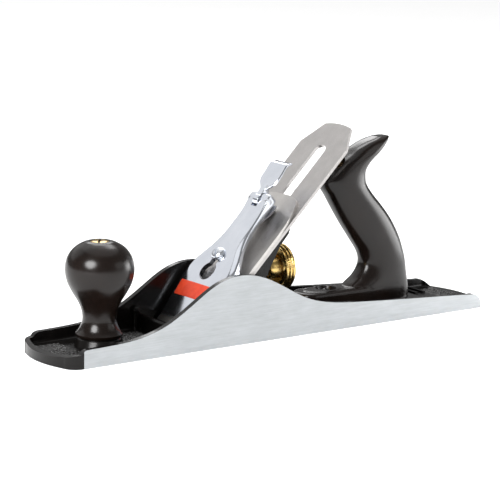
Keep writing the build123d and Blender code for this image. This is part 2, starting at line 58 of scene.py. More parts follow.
# ---------------------------------------------------------------- node graphs
class Graph:
    """Short way to write a material's node graph."""

    def __init__(self, name):
        self.material = bpy.data.materials.new(name)
        self.material.use_nodes = True
        self.tree = self.material.node_tree
        self.tree.nodes.clear()
        self.out = self.tree.nodes.new("ShaderNodeOutputMaterial")
        self.shader = self.tree.nodes.new("ShaderNodeBsdfPrincipled")
        self.link(self.shader.outputs[0], self.out.inputs[0])
        self.coords = self.node("ShaderNodeTexCoord").outputs["Object"]

    def link(self, a, b):
        self.tree.links.new(a, b)

    def put(self, node, values):
        for key, value in values.items():
            socket = node.inputs[key]
            if isinstance(value, bpy.types.NodeSocket):
                self.link(value, socket)
            else:
                socket.default_value = value

    def node(self, kind, settings=None, **values):
        made = self.tree.nodes.new(kind)
        for key, value in (settings or {}).items():
            setattr(made, key, value)
        self.put(made, values)
        return made

    def math(self, operation, a, b=None, clamp=False):
        made = self.tree.nodes.new("ShaderNodeMath")
        made.operation = operation
        made.use_clamp = clamp
        for socket, value in zip(made.inputs, (a, b)):
            if value is None:
                continue
            if isinstance(value, bpy.types.NodeSocket):
                self.link(value, socket)
            else:
                socket.default_value = value
        return made.outputs[0]

    def mapped(self, scale, turn=(0, 0, 0)):
        made = self.node("ShaderNodeMapping", Vector=self.coords)
        made.inputs["Rotation"].default_value = turn
        made.inputs["Scale"].default_value = scale
        return made.outputs[0]

    def noise(self, vector, size, detail=4.0, rough=0.55):
        made = self.node("ShaderNodeTexNoise", Vector=vector)
        self.put(made, {"Scale": size, "Detail": detail, "Roughness": rough})
        return made.outputs[0]

    def ramp(self, value, low, high, from_value=0.3, to_value=0.7):
        made = self.tree.nodes.new("ShaderNodeMapRange")
        made.inputs["From Min"].default_value = from_value
        made.inputs["From Max"].default_value = to_value
        made.inputs["To Min"].default_value = low
        made.inputs["To Max"].default_value = high
        self.link(value, made.inputs["Value"])
        return made.outputs[0]

    def mix(self, factor, a, b):
        made = self.tree.nodes.new("ShaderNodeMix")
        made.data_type = "RGBA"
        for socket, value in ((made.inputs[0], factor), (made.inputs[6], a), (made.inputs[7], b)):
            if isinstance(value, bpy.types.NodeSocket):
                self.link(value, socket)
            elif isinstance(value, float):
                socket.default_value = value
            else:
                socket.default_value = (*value, 1.0)
        return made.outputs[2]

    def bump(self, height, distance, strength=1.0, under=None):
        made = self.tree.nodes.new("ShaderNodeBump")
        made.inputs["Distance"].default_value = distance
        made.inputs["Strength"].default_value = strength
        self.link(height, made.inputs["Height"])
        if under is not None:
            self.link(under, made.inputs["Normal"])
        return made.outputs[0]

    def finish(self, **values):
        for key, value in values.items():
            socket = self.shader.inputs[key.replace("_", " ")]
            if isinstance(value, bpy.types.NodeSocket):
                self.link(value, socket)
            elif isinstance(value, tuple):
                socket.default_value = (*value, 1.0)
            else:
                socket.default_value = value
        return self.material


def metal(name, light, dark, rough, along, turn=(0, 0, 0), grain=2400.0, groove=0.00003,
          rough_span=0.08, stretch=0.03):
    """Bare metal with fine grinding lines that run along one direction."""
    g = Graph(name)
    scale = [stretch if i == along else 1.0 for i in range(3)]
    lines = g.noise(g.mapped(scale, turn), grain, 3.0, 0.6)
    coarse = g.noise(g.mapped([0.25 if i == along else 1.0 for i in range(3)], turn), 160.0, 4.0)
    cloud = g.noise(g.coords, 35.0, 5.0)
    blend = g.math("ADD", g.math("MULTIPLY", lines, 0.55), g.math("MULTIPLY", coarse, 0.45))
    colour = g.mix(g.ramp(blend, 0.0, 1.0), dark, light)
    shine = g.ramp(cloud, rough - rough_span, rough + rough_span)
    return g.finish(Base_Color=colour, Metallic=1.0, Roughness=shine,
                    Normal=g.bump(lines, groove, 0.6))


def polished(name, light, dark, rough, smear=0.05, ripple=0.00002):
    """Plated or polished metal: small cloudy differences in tint and gloss."""
    g = Graph(name)
    cloud = g.noise(g.coords, 60.0, 6.0)
    fine = g.noise(g.coords, 900.0, 3.0)
    colour = g.mix(g.ramp(cloud, 0.0, 1.0), dark, light)
    shine = g.ramp(g.math("ADD", g.math("MULTIPLY", cloud, 0.7), g.math("MULTIPLY", fine, 0.3)),
                   rough, rough + smear)
    return g.finish(Base_Color=colour, Metallic=1.0, Roughness=shine,
                    Normal=g.bump(g.noise(g.coords, 120.0, 2.0), ripple, 0.5))


def plastic(name, light, dark, rough):
    """Moulded gloss plastic with faint flow marks, rub marks and dust-fine scratches."""
    g = Graph(name)
    flow = g.noise(g.mapped((1, 1, 0.35)), 45.0, 6.0)
    colour = g.mix(g.ramp(flow, 0.0, 1.0), dark, light)
    rub = g.noise(g.coords, 38.0, 7.0, 0.65)
    scratches = g.noise(g.mapped((1, 1, 0.06), (0.4, 0.3, 0.2)), 1500.0, 2.0)
    normal = g.bump(g.noise(g.coords, 260.0, 3.0), 0.00003, 0.5)
    normal = g.bump(scratches, 0.00001, 0.3, normal)
    return g.finish(Base_Color=colour, Roughness=g.ramp(rub, rough, rough + 0.1),
                    IOR=1.38, Normal=normal)


def japan(name, light, dark, rough, peel=0.00009, peel_size=420.0):
    """Thick black baked enamel over rough cast iron."""
    g = Graph(name)
    cloud = g.noise(g.coords, 70.0, 5.0)
    colour = g.mix(g.ramp(cloud, 0.0, 1.0), dark, light)
    skin = g.noise(g.coords, peel_size, 3.0)
    pits = g.noise(g.coords, peel_size * 3.2, 2.0)
    normal = g.bump(skin, peel, 0.6)
    normal = g.bump(pits, peel * 0.25, 0.5, normal)
    return g.finish(Base_Color=colour, Roughness=g.ramp(cloud, rough, rough + 0.14),
                    IOR=1.34, Normal=normal)


def casting(name):
    """The body: ground bare iron on the sole and sides, black enamel everywhere else."""
    g = Graph(name)
    place = g.node("ShaderNodeSeparateXYZ", Vector=g.coords)
    facing = g.node("ShaderNodeSeparateXYZ", Vector=g.node("ShaderNodeNewGeometry").outputs[1])
    out_y = g.math("ABSOLUTE", place.outputs[1])
    flat_y = g.math("GREATER_THAN", g.math("ABSOLUTE", facing.outputs[1]), 0.9)
    on_side = g.math("GREATER_THAN", out_y, GROUND_SIDE_Y)
    behind_toe = g.math("GREATER_THAN", place.outputs[0], ENAMEL_TOE_X)
    side = g.math("MULTIPLY", flat_y, g.math("MULTIPLY", on_side, behind_toe))
    under = g.math("LESS_THAN", place.outputs[2], 0.0002)
    bare = g.math("MAXIMUM", side, under)

    lines = g.noise(g.mapped((0.035, 1, 1)), 1500.0, 3.0, 0.6)
    mottle = g.noise(g.mapped((0.3, 1, 1)), 240.0, 5.0, 0.65)
    cloud = g.noise(g.coords, 26.0, 4.0)
    grit = g.math("ADD", g.math("MULTIPLY", lines, 0.5), g.math("MULTIPLY", mottle, 0.5))
    steel = g.mix(g.ramp(grit, 0.0, 1.0, 0.35, 0.65), (0.385, 0.40, 0.41), (0.46, 0.48, 0.495))
    enamel_cloud = g.noise(g.coords, 70.0, 5.0)
    enamel = g.mix(g.ramp(enamel_cloud, 0.0, 1.0), (0.0028, 0.0025, 0.0023),
                   (0.006, 0.0052, 0.0048))
    colour = g.mix(bare, enamel, steel)

    steel_rough = g.ramp(cloud, 0.42, 0.52)
    enamel_rough = g.ramp(enamel_cloud, 0.15, 0.27)
    rough = g.math("ADD", g.math("MULTIPLY", bare, steel_rough),
                   g.math("MULTIPLY", g.math("SUBTRACT", 1.0, bare), enamel_rough))
    skin = g.noise(g.coords, 420.0, 3.0)
    height = g.math("ADD", g.math("MULTIPLY", g.math("MULTIPLY", bare, lines), 0.25),
                    g.math("MULTIPLY", g.math("SUBTRACT", 1.0, bare), skin))
    return g.finish(Base_Color=colour, Metallic=g.math("MULTIPLY", bare, 0.9), Roughness=rough,
                    Normal=g.bump(height, 0.0001, 0.5), IOR=1.3)


def enamel_band_material(name):
    g = Graph(name)
    cloud = g.noise(g.coords, 300.0, 5.0)
    speck = g.noise(g.coords, 1600.0, 2.0)
    tone = g.math("ADD", g.math("MULTIPLY", cloud, 0.6), g.math("MULTIPLY", speck, 0.4))
    colour = g.mix(g.ramp(tone, 0.0, 1.0), (0.42, 0.026, 0.008), (0.60, 0.055, 0.018))
    return g.finish(Base_Color=colour, Roughness=g.ramp(cloud, 0.28, 0.42), IOR=1.4,
                    Normal=g.bump(cloud, 0.00012, 0.6))


def turned_brass(name, centre_y, centre_z):
    """Brass turned in a lathe: rings about an axis parallel to X."""
    g = Graph(name)
    place = g.node("ShaderNodeSeparateXYZ", Vector=g.coords)
    dy = g.math("SUBTRACT", place.outputs[1], centre_y)
    dz = g.math("SUBTRACT", place.outputs[2], centre_z)
    radius = g.math("SQRT", g.math("ADD", g.math("MULTIPLY", dy, dy), g.math("MULTIPLY", dz, dz)))
    rings = g.math("SINE", g.math("MULTIPLY", g.math("ADD", radius, g.math(
        "MULTIPLY", place.outputs[0], 0.7)), 21000.0))
    cloud = g.noise(g.coords, 90.0, 6.0)
    tone = g.noise(g.coords, 700.0, 3.0)
    colour = g.mix(g.ramp(g.math("ADD", g.math("MULTIPLY", cloud, 0.7),
                                 g.math("MULTIPLY", tone, 0.3)), 0.0, 1.0),
                   (0.62, 0.40, 0.12), (0.86, 0.64, 0.27))
    return g.finish(Base_Color=colour, Metallic=1.0, Roughness=g.ramp(cloud, 0.16, 0.32),
                    Normal=g.bump(rings, 0.000012, 0.5))


BED_TURN = (0.0, math.radians(45.0), 0.0)
finishes = {
    "black_japan": japan("black_japan", (0.006, 0.0052, 0.0048), (0.0028, 0.0025, 0.0023), 0.18),
    "casting": casting("ground_casting"),
    "black_plastic": plastic("black_plastic", (0.0090, 0.0054, 0.0040),
                             (0.0034, 0.0020, 0.0015), 0.17),
    "iron_steel": metal("iron_steel", (0.53, 0.51, 0.50), (0.41, 0.395, 0.385), 0.34, 0, BED_TURN),
    "cap_steel": metal("cap_steel", (0.62, 0.60, 0.58), (0.50, 0.48, 0.46), 0.36, 0, BED_TURN),
    "bright_chrome": polished("bright_chrome", (0.74, 0.765, 0.82), (0.66, 0.69, 0.75), 0.12),
    "satin_chrome": polished("satin_chrome", (0.72, 0.74, 0.78), (0.62, 0.65, 0.70), 0.24, 0.1),
    "polished_brass": turned_brass("turned_brass", 0.0, 0.0415),
    "nut_brass": polished("nut_brass", (0.86, 0.64, 0.30), (0.66, 0.44, 0.16), 0.16, 0.12),
    "red_enamel": enamel_band_material("red_enamel"),
    "zinc_steel": metal("zinc_steel", (0.52, 0.52, 0.54), (0.36, 0.36, 0.38), 0.32, 2,
                        grain=1400.0),
    "black_steel": japan("black_steel", (0.012, 0.012, 0.012), (0.005, 0.005, 0.005), 0.26,
                         0.00005, 900.0),
}


# ---------------------------------------------------------------- mesh helpers
def new_object(name, verts, faces, finish, smooth_angle=35.0):
    mesh = bpy.data.meshes.new(name)
    mesh.from_pydata([tuple(v) for v in verts], [], faces)
    bm = bmesh.new()
    bm.from_mesh(mesh)
    bmesh.ops.remove_doubles(bm, verts=bm.verts, dist=1e-7)
    bmesh.ops.recalc_face_normals(bm, faces=bm.faces)
    bm.to_mesh(mesh)
    bm.free()
    obj = bpy.data.objects.new(name, mesh)
    bpy.context.collection.objects.link(obj)
    obj.data.materials.append(finishes[finish])
    shade(obj, smooth_angle)
    return obj


def shade(obj, angle):
    obj.data.shade_smooth()
    obj.data.set_sharp_from_angle(angle=math.radians(angle))


def placed(points, where):
    """Points in millimetres to metres, through a placement matrix in millimetres."""
    return [(where @ Vector(p)) * MM for p in points]


def lathe(name, profile, where, finish, turns=96, angle=35.0):
    """Turn (radius, height) points in millimetres about the placement's Z axis."""
    verts = []
    faces = []
    count = len(profile)
    for k in range(turns):
        a = 2 * math.pi * k / turns
        for r, z in profile:
            verts.append((r * math.cos(a), r * math.sin(a), z))
    for k in range(turns):
        n = (k + 1) % turns
        for i in range(count - 1):
            faces.append((k * count + i, n * count + i, n * count + i + 1, k * count + i + 1))
    return new_object(name, placed(verts, where), faces, finish, angle)


def smooth_line(points, per_span=8, closed=False):
    """Catmull-Rom curve through points of any dimension."""
    out = []
    count = len(points)
    spans = count if closed else count - 1
    for i in range(spans):
        p1, p2 = points[i], points[(i + 1) % count]
        p0 = points[i - 1] if (i > 0 or closed) else p1
        p3 = points[(i + 2) % count] if (i + 2 < count or closed) else p2
        for k in range(per_span):
            t = k / per_span
            out.append(tuple(
                0.5 * (2 * b + (c - a) * t + (2 * a - 5 * b + 4 * c - d) * t * t
                       + (3 * b - a - 3 * c + d) * t ** 3)
                for a, b, c, d in zip(p0, p1, p2, p3)))
    if not closed:
        out.append(tuple(points[-1]))
    return out


def interpolate(table, x):
    """Straight-line interpolation in a table of (x, value)."""
    if x <= table[0][0]:
        return table[0][1]
    for (x0, v0), (x1, v1) in zip(table, table[1:]):
        if x <= x1:
            return v0 + (v1 - v0) * (x - x0) / (x1 - x0)
    return table[-1][1]


def smoothstep(low, high, x):
    t = min(1.0, max(0.0, (x - low) / (high - low)))
    return t * t * (3 - 2 * t)


def ring_loft(rings, cap_start=True, cap_end=True):
    """Join rings of equal length into a skin."""
    verts = [p for ring in rings for p in ring]
    size = len(rings[0])
    faces = []
    for k in range(len(rings) - 1):
        for i in range(size):
            n = (i + 1) % size
            faces.append((k * size + i, k * size + n, (k + 1) * size + n, (k + 1) * size + i))
    if cap_start:
        faces.append(tuple(range(size)))
    if cap_end:
        faces.append(tuple((len(rings) - 1) * size + i for i in range(size)))
    return verts, faces


def baked(obj, *modifiers):
    """Add modifiers given as (kind, settings) and apply them."""
    for kind, settings in modifiers:
        m = obj.modifiers.new(kind.lower(), kind)
        for key, value in settings.items():
            setattr(m, key, value)
    graph = bpy.context.evaluated_depsgraph_get()
    mesh = bpy.data.meshes.new_from_object(obj.evaluated_get(graph))
    obj.modifiers.clear()
    old = obj.data
    obj.data = mesh
    bpy.data.meshes.remove(old)
    return obj


def cut(obj, tools):
    """Boolean-subtract tools from obj and delete them."""
    for tool in tools:
        baked(obj, ("BOOLEAN", {"object": tool, "operation": "DIFFERENCE", "solver": "EXACT"}))
        bpy.data.objects.remove(tool)


def prism(name, outline, where, low, high):
    """A closed extrusion of an outline in the placement's XY, used as a cutter."""
    count = len(outline)
    verts = [(x, y, low) for x, y in outline] + [(x, y, high) for x, y in outline]
    faces = [tuple(range(count - 1, -1, -1)), tuple(range(count, 2 * count))]
    for i in range(count):
        n = (i + 1) % count
        faces.append((i, n, count + n, count + i))
    return new_object(name, placed(verts, where), faces, "zinc_steel")


def circle_points(cx, cy, r, count=48):
    return [(cx + r * math.cos(2 * math.pi * k / count), cy + r * math.sin(2 * math.pi * k / count))
            for k in range(count)]


def soften(obj, width, segments=2, angle=30.0, clamped=True):
    """Round a carried-over piece's edges with a live bevel."""
    m = obj.modifiers.new("edge", "BEVEL")
    m.width = width * MM
    m.segments = segments
    m.limit_method = "ANGLE"
    m.angle_limit = math.radians(angle)
    m.use_clamp_overlap = clamped
    m.harden_normals = True


def stand_in(obj, body, slot, *replaced):
    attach(obj, body)
    if replaced:
        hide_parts(*replaced)


# ---------------------------------------------------------------- rear handle
BOLT_FOOT = Vector((107.0, 0.0, 8.5))
BOLT_HEAD = Vector((60.0, 0.0, 110.4))
KNOB_X = -132.0
TOE_SCREW_X = 53.5
TOE_SCREW_Z = 20.0
# height, front, back, half width, roundness: nearest an ellipse at 10
GRIP_LEVELS = [
    (8.5, 62, 124.6, 11.4, 6), (16, 66, 124.4, 11.4, 7), (22, 71, 123.8, 11.3, 8),
    (28, 79, 122.9, 11.2, 9), (36, 83.8, 121.4, 11, 9), (44, 82.2, 119, 11, 9),
    (54, 75, 115, 11, 9), (66, 66, 107.8, 11, 9), (76, 59.2, 99.6, 11, 9),
    (86, 52.8, 90.1, 11, 9), (93, 48.2, 84.9, 11, 9), (98.5, 47.6, 83.3, 11, 8.5),
    (104, 53, 83.6, 11, 8.2), (110, 61, 88.2, 10.8, 8), (115, 69.5, 94.6, 10.2, 7),
    (119.4, 76.8, 99.2, 9.2, 6), (123, 85, 102.2, 7.6, 4.8), (125.6, 93.8, 104.2, 5.0, 3),
]


def rounded_rectangle(centre, half_x, half_y, corner, per_corner=10):
    """Outline of a rounded rectangle, the same number of points for every size."""
    corner = min(corner, half_x - 0.2, half_y - 0.2)
    points = []
    for k, (sx, sy) in enumerate(((1, 1), (-1, 1), (-1, -1), (1, -1))):
        for i in range(per_corner):
            a = math.pi / 2 * (k + i / (per_corner - 1))
            points.append((centre + sx * (half_x - corner) + corner * math.cos(a),
                           sy * (half_y - corner) + corner * math.sin(a)))
    return points


def oval(centre_x, centre_y, half_x, half_y, power, count=72):
    """Ellipse, or a squarer one when the power is above two."""
    points = []
    for k in range(count):
        a = 2 * math.pi * k / count
        c, s = math.cos(a), math.sin(a)
        points.append((centre_x + half_x * math.copysign(abs(c) ** (2 / power), c),
                       centre_y + half_y * math.copysign(abs(s) ** (2 / power), s)))
    return points


def along(origin, direction):
    """Placement with its Z axis along a direction."""
    turn = direction.normalized().to_track_quat("Z", "Y").to_matrix().to_4x4()
    return Matrix.Translation(origin) @ turn


def joined(objects):
    """Join loose meshes into the first one."""
    bm = bmesh.new()
    for obj in objects:
        bm.from_mesh(obj.data)
    bm.to_mesh(objects[0].data)
    bm.free()
    for obj in objects[1:]:
        bpy.data.objects.remove(obj)
    return objects[0]


def moulded(objects, voxel, passes):
    """Blend overlapping solids into one skin with soft inner corners."""
    one = joined(objects)
    baked(one, ("REMESH", {"mode": "VOXEL", "voxel_size": voxel * MM}),
          ("SMOOTH", {"factor": 0.5, "iterations": passes}))
    return one


grip_rings = []
for z, front, back, half, corner in smooth_line(GRIP_LEVELS, 6):
    outline = oval((front + back) / 2, 0.0, (back - front) / 2, half, 2.2 + (10 - corner) * 0.25)
    grip_rings.append([Vector((x, y, z)) * MM for x, y in outline])
grip = new_object("tote_grip", *ring_loft(grip_rings), "black_plastic")


def foot_outline(inset):
    """Plan of the handle's foot: round at the toe, running back under the grip."""
    half = 11.4 - inset
    points = [(96.0, half), (96.0, -half)]
    for k in range(25):
        a = math.pi * (-0.5 - k / 24)
        points.append((38.0 + (10.4 - inset) * math.cos(a), half * math.sin(a)))
    return points


foot_rings = [[Vector((x, y, z)) * MM for x, y in foot_outline(inset)]
              for z, inset in ((8.5, 0.0), (18.6, 0.0), (20.0, 0.4), (20.9, 1.2), (21.2, 2.4))]
foot = new_object("tote_foot", *ring_loft(foot_rings), "black_plastic")
pad_rings = [[Vector((x, y, z)) * MM for x, y in oval(50.5, 0.0, half_x, half_y, 2.0)]
             for z, half_x, half_y in ((19.0, 16.4, 9.9), (21.0, 15.9, 9.4), (21.8, 15.0, 8.6))]
pad = new_object("tote_pad", *ring_loft(pad_rings), "black_plastic")
tote = moulded([grip, foot, pad], 0.55, 5)
tote.name = "tote_skin"
bolt_way = (BOLT_HEAD - BOLT_FOOT).normalized()
cut(tote, [
    lathe("bore", [(0, -13.4), (6.4, -13.4), (6.4, 22), (0, 22)],
          along(BOLT_HEAD + bolt_way * 5, bolt_way), "zinc_steel"),
    lathe("dish", [(0, TOE_SCREW_Z - 3.2), (6.1, TOE_SCREW_Z - 3.2), (6.3, TOE_SCREW_Z - 0.4),
                   (7.4, TOE_SCREW_Z + 1.4), (7.8, TOE_SCREW_Z + 4), (0, TOE_SCREW_Z + 4)],
          Matrix.Translation((TOE_SCREW_X, 0, 0)), "zinc_steel")])
shade(tote, 40)
stand_in(tote, "stock", "black_plastic", "tote")


def slotted(name, profile, where, finish, wide, deep, top, turn=0.0):
    """A turned screw or nut head with a driver slot across it."""
    head = lathe(name, profile, where, finish)
    reach = 9.0
    outline = [(-reach, -wide / 2), (reach, -wide / 2), (reach, wide / 2), (-reach, wide / 2)]
    slot_place = where @ Matrix.Rotation(turn, 4, "Z")
    cut(head, [prism("slot", outline, slot_place, top - deep, top + 4)])
    shade(head, 35)
    return head


tote_nut = slotted("tote_barrel_nut", [
    (0, -21.5), (4.1, -21.5), (4.1, -8.4), (6.2, -8.4), (6.2, -7.2), (5.9, -6.7), (5.2, -6.2),
    (3.0, -5.9), (0, -5.8)], along(BOLT_HEAD, bolt_way), "nut_brass", 1.5, 1.4, -5.9, 0.5)
stand_in(tote_nut, "stock", "polished_brass", "tote_nut")
toe_screw = slotted("toe_screw_head", [
    (0, TOE_SCREW_Z - 3.1), (5.6, TOE_SCREW_Z - 3.1), (5.6, TOE_SCREW_Z - 1.8),
    (4.9, TOE_SCREW_Z - 1.0), (3.4, TOE_SCREW_Z + 0.1), (1.9, TOE_SCREW_Z + 1.2),
    (1.1, TOE_SCREW_Z + 1.55), (0, TOE_SCREW_Z + 1.65)], Matrix.Translation((TOE_SCREW_X, 0, 0)),
    "black_steel", 1.5, 1.9, TOE_SCREW_Z + 1.65, 1.0)
toe_shank = lathe("toe_shank", [(0, 2.8), (2.5, 2.8), (2.5, 17.2), (0, 17.2)],
                  Matrix.Translation((TOE_SCREW_X, 0, 0)), "black_steel", 32)
stand_in(joined([toe_screw, toe_shank]), "stock", "black_steel", "tote_toe_screw")

# ---------------------------------------------------------------- front knob
ball = smooth_line([(15.6, 13.6), (13.1, 17.0), (11.3, 22.3), (11.8, 28.6), (14.2, 34.6),
                    (18.0, 41), (21.3, 48), (22.6, 56), (21.1, 63.6), (16.8, 69.6), (11.2, 73.1),
                    (8.2, 74.1)], 7)
knob_profile = [(2.9, 11), (13.4, 11), (14.6, 11.3), (15.4, 12.2)] + ball + [
    (7.3, 74.35), (6.7, 74.2), (6.4, 73.7), (6.4, 72.2), (4.3, 72.2), (4.3, 58), (2.9, 58),
    (2.9, 11)]
knob = lathe("knob_ball", knob_profile, Matrix.Translation((KNOB_X, 0, 0)), "black_plastic", 128,
             40)
stand_in(knob, "stock", "black_plastic", "knob")
knob_nut = slotted("knob_barrel_nut", [
    (0, 57), (4.1, 57), (4.1, 72.3), (6.2, 72.3), (6.2, 73.3), (6.0, 73.8), (5.4, 74.15),
    (3.0, 74.35), (0, 74.4)], Matrix.Translation((KNOB_X, 0, 0)), "nut_brass", 1.7, 1.6, 74.4, 0.9)
stand_in(knob_nut, "stock", "polished_brass", "knob_nut")

# ---------------------------------------------------------------- lever cap
# Tables run along the bed (s) in millimetres: half width, face height and rim height.
CAP_HALF = smooth_line([(12, 24.0), (13.2, 25.0), (28, 25.2), (44, 25.2), (52, 24.3), (60, 21.1),
                        (72, 15.1), (84, 12.0), (100, 10.7), (112, 10.6), (114.2, 10.2),
                        (115.2, 9.2)], 24)
CAP_FACE = smooth_line([(12, 9.5), (28, 12.1), (44, 14.5), (56, 15.3), (70, 15.8), (84, 15.9),
                        (98, 16.6), (107, 18.1), (112, 19.2), (114.2, 19.1), (115.2, 18.2)], 24)
CAP_RIM = smooth_line([(12, 7.1), (16, 7.1), (40, 6.5), (56, 8.1), (75, 10.6), (88, 11.3),
                       (104, 11.5), (114, 11.6), (115.2, 13)], 24)
CAP_CROWN = 0.7


def cap_height(s, y):
    """Height of the lever cap's face above the bed."""
    return interpolate(CAP_FACE, s) - CAP_CROWN * (y / interpolate(CAP_HALF, s)) ** 2


cap_rings = []
for step in range(150):
    s = 12.0 + 103.2 * step / 149
    half = interpolate(CAP_HALF, s)
    rim = interpolate(CAP_RIM, s)
    shoulder = cap_height(s, half)
    tall = shoulder - rim
    run = 4.2 - 3.3 * smoothstep(66, 92, s)
    fall = min(3.0 - 2.2 * smoothstep(66, 92, s), tall * 0.7)
    ring = [(half - 0.5, rim), (half - 0.1, rim + 0.25)]
    for k in range(9):
        a = math.pi / 2 * k / 8
        y = half - run + run * math.cos(a)
        ring.append((y, cap_height(s, y) - fall + fall * math.sin(a)))
    top_line = [(half - run) * (1 - 2 * k / 24) for k in range(1, 24)]
    near_side = [(-y, n) for y, n in reversed(ring)]
    ring += [(y, cap_height(s, y)) for y in top_line] + near_side
    cap_rings.append(placed([(s, y, n) for y, n in ring], BED))
lever_cap = new_object("lever_cap_shell", *ring_loft(cap_rings), "bright_chrome")

HOLLOW_HALF = [(20, 22), (44, 22), (52, 21), (60, 17.8), (72, 12), (84, 9), (103, 7.6)]
HOLLOW_TOP = [(20, 7.6), (44, 11.2), (56, 12.0), (70, 12.5), (84, 12.7), (103, 13.2)]
hollow_rings = []
for step in range(40):
    s = 20 + 83 * step / 39
    half = interpolate(HOLLOW_HALF, s)
    top = interpolate(HOLLOW_TOP, s)
    hollow_rings.append(placed([(s, half, 0), (s, half, top - 0.8), (s, half - 0.8, top),
                                (s, -half + 0.8, top), (s, -half, top - 0.8), (s, -half, 0)], BED))
hollow = new_object("hollow", *ring_loft(hollow_rings), "zinc_steel")
keyhole = []
for k in range(25):
    a = math.pi * (0.5 - k / 24)
    keyhole.append((62.5 + 3.7 * math.cos(a), 3.7 * math.sin(a)))
join_angle = math.asin(3.7 / 7.0)
for k in range(41):
    a = -join_angle - (2 * math.pi - 2 * join_angle) * k / 40
    keyhole.append((49.0 + 7.0 * math.cos(a), 7.0 * math.sin(a)))
notch = [(104, -3.0), (120, -3.0), (120, 3.0), (104, 3.0)]
cut(lever_cap, [hollow, prism("keyhole", keyhole, BED, 4, 30), prism("notch", notch, BED, 0, 30)])
shade(lever_cap, 38)
stand_in(lever_cap, "lever_cap", "bright_chrome", "lever_cap")

cap_screw = slotted("cap_screw_head", [
    (0, -6.4), (3.2, -6.4), (3.2, 15.6), (5.0, 15.7), (5.1, 16.2), (4.9, 17.4), (4.2, 18.4),
    (3.0, 19.1), (1.6, 19.4), (0, 19.5)], BED @ Matrix.Translation((62.5, 0, 0)), "satin_chrome",
    1.4, 1.3, 19.3, 0.7)
stand_in(cap_screw, "frog", "bright_chrome", "lever_cap_screw")
SIDEWAYS = BED @ Matrix(((1, 0, 0, 0), (0, 0, -1, 0), (0, 1, 0, 0), (0, 0, 0, 1)))
pin = lathe("cam_pin_ends", [(0, -10.9), (1.3, -10.85), (2.1, -10.7), (2.3, -10.4), (2.3, 10.4),
                             (2.1, 10.7), (1.3, 10.85), (0, 10.9)],
            SIDEWAYS @ Matrix.Translation((110.0, 16.0, 0)), "satin_chrome", 48)
stand_in(pin, "lever_cap", "zinc_steel", "cam_pin")

# Enamel band: a plain strip that follows the face
BAND_S = 33.0
BAND_HALF_S = 6.0
BAND_HALF_Y = 21.5
band_verts = []
band_faces = []
COLUMNS = 48
ROWS = 16
for i in range(ROWS + 1):
    for j in range(COLUMNS + 1):
        u = 2 * i / ROWS - 1
        v = 2 * j / COLUMNS - 1
        squeeze = 1 - 0.035 * smoothstep(0.85, 1.0, abs(u))
        s = BAND_S + BAND_HALF_S * u
        y = BAND_HALF_Y * v * squeeze
        edge = min(BAND_HALF_S * (1 - abs(u)), BAND_HALF_Y * (1 - abs(v)))
        rise = -0.3 + 0.55 * smoothstep(0.0, 0.7, edge)
        band_verts.append((s, y, cap_height(s, y) + rise))
for i in range(ROWS):
    for j in range(COLUMNS):
        k = i * (COLUMNS + 1) + j
        band_faces.append((k, k + 1, k + COLUMNS + 2, k + COLUMNS + 1))
band = new_object("enamel_strip", placed(band_verts, BED), band_faces, "red_enamel", 60)
stand_in(band, "lever_cap", "red_enamel", "enamel_band")

# ---------------------------------------------------------------- cam lever
# distance along the bed, height off it, half width, half thickness
BLADE_PATH = smooth_line([(116.6, 18.9, 2.7, 1.3), (119.2, 19.1, 5.2, 1.05), (122, 19.4, 8.1, 0.95),
                          (125.5, 19.9, 9.6, 0.9), (131, 20.5, 9.6, 0.85), (136.4, 21.2, 9.4, 0.85),
                          (138.2, 21.0, 9.4, 0.8), (139.8, 19.9, 9.3, 0.7),
                          (141.4, 18.7, 9.1, 0.6)],
                         5)
blade_rings = []
for index, (s, n, half, thick) in enumerate(BLADE_PATH):
    before = BLADE_PATH[max(index - 1, 0)]
    after = BLADE_PATH[min(index + 1, len(BLADE_PATH) - 1)]
    slope = Vector((after[0] - before[0], after[1] - before[1])).normalized()
    outline = rounded_rectangle(0.0, half, thick, thick * 0.8, 6)
    blade_rings.append(placed([(s - slope.y * h, y, n + slope.x * h) for y, h in outline], BED))
blade = new_object("cam_blade", *ring_loft(blade_rings), "bright_chrome")
lobe = prism("cam_lobe", circle_points(110.8, 13.1, 6.2), SIDEWAYS, -2.7, 2.7)
hub = prism("cam_hub", circle_points(110.0, 16.0, 4.4), SIDEWAYS, -2.7, 2.7)
neck = prism("cam_neck", [(108.4, 13), (114.6, 12.8), (120.2, 18.4), (120.4, 20.4), (108, 19.6)],
             SIDEWAYS, -2.7, 2.7)
cam = moulded([blade, lobe, hub, neck], 0.26, 3)
cam.name = "cam_lever_skin"
shade(cam, 45)
stand_in(cam, "cam_lever", "bright_chrome", "cam_lever")

# ---------------------------------------------------------------- depth wheel and its stud
WHEEL = Matrix(((0, 0, 1, 0), (1, 0, 0, 0), (0, 1, 0, 41.5), (0, 0, 0, 1)))
wheel_profile = [(3.25, -8.6), (7.2, -8.6), (7.5, -8.3), (7.5, -6.9), (7.2, -6.6), (4.6, -6.6),
                 (4.6, 0.2), (7.6, 0.2), (7.9, 0.6), (8.3, 3.2), (8.6, 6.0), (8.8, 9.0),
                 (9.2, 10.6), (10.2, 11.2), (12.2, 11.4), (12.8, 10.8), (13.1, 9.4), (13.5, 8.8),
                 (14.2, 8.6), (14.7, 9.0), (14.85, 9.7), (14.6, 10.3), (14.3, 10.6),
                 (14.6, 10.9), (15.3, 11.1), (15.65, 11.8), (15.4, 12.5), (15.0, 12.8),
                 (15.3, 13.1), (15.9, 13.4), (16.1, 14.2), (15.8, 15.1), (15.2, 15.5),
                 (12.8, 15.6), (12.2, 15.2), (11.9, 14.7), (6.6, 14.6), (6.2, 15.0), (5.6, 15.2),
                 (3.25, 15.2), (3.25, -8.6)]
